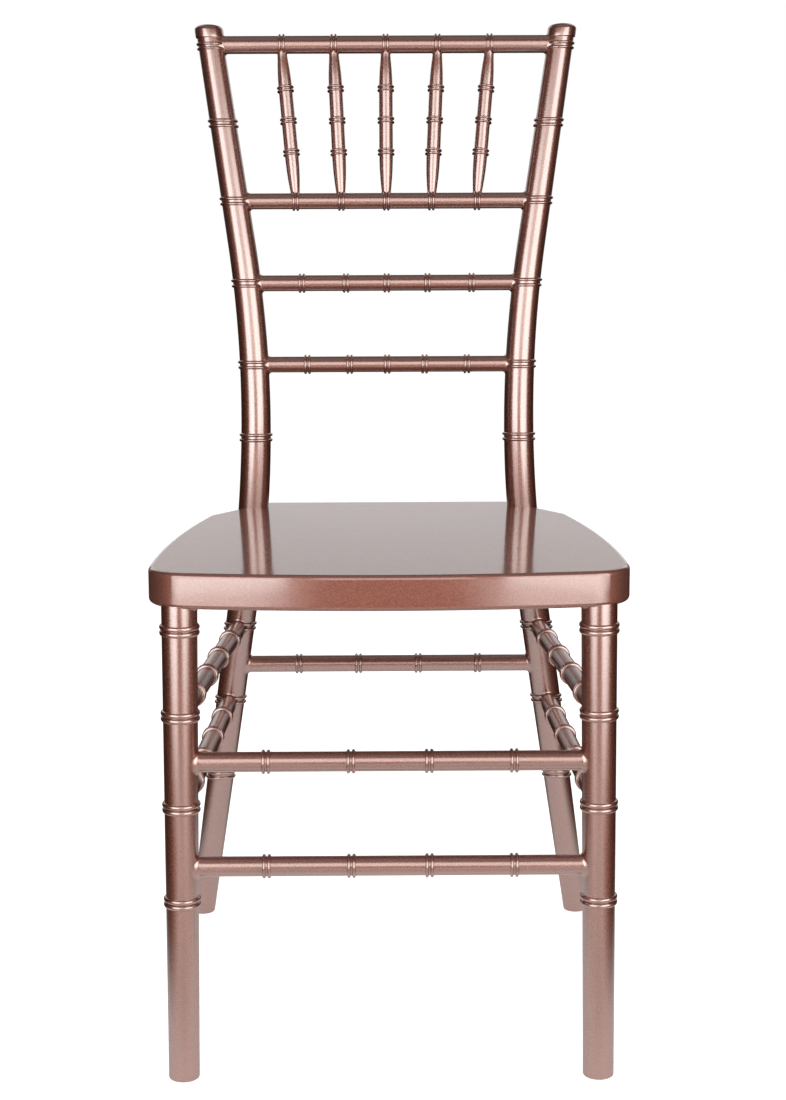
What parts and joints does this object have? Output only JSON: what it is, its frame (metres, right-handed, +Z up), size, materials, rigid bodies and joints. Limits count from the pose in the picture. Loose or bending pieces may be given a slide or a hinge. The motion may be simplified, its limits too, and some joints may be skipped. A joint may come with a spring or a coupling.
{
  "type": "chiavari chair",
  "caption": "Chiavari chair with turned bamboo-look posts, rails, spindles and stretchers and a flat moulded seat, in a rose gold metallic finish.",
  "frame": {"origin": "on the floor under the middle of the chair's bounding box", "axes": "+Z up, -Y to the front where the sitter faces, +X to the right seen from the front"},
  "size_m": [0.4204, 0.4732, 0.9175],
  "materials": {
    "frame": "metallic rose gold lacquer, gloss",
    "seat": "metallic rose gold lacquer, gloss",
    "screws": "zinc plated"
  },
  "bodies": {
    "root": {"top_rail": "frame", "spindle_rail": "frame", "middle_back_rail": "frame", "lower_back_rail": "frame", "rear_stretcher": "frame", "front_upper_stretcher": "frame", "front_lower_stretcher": "frame", "left_upper_side_stretcher": "frame", "right_upper_side_stretcher": "frame", "left_lower_side_stretcher": "frame", "right_lower_side_stretcher": "frame", "spindle_1": "frame", "spindle_2": "frame", "spindle_3": "frame", "spindle_4": "frame", "spindle_5": "frame", "left_front_leg": "frame", "right_front_leg": "frame", "left_back_post": "frame", "right_back_post": "frame", "seat_board": "seat", "seat_screws": "screws"}
  },
  "joints": []
}
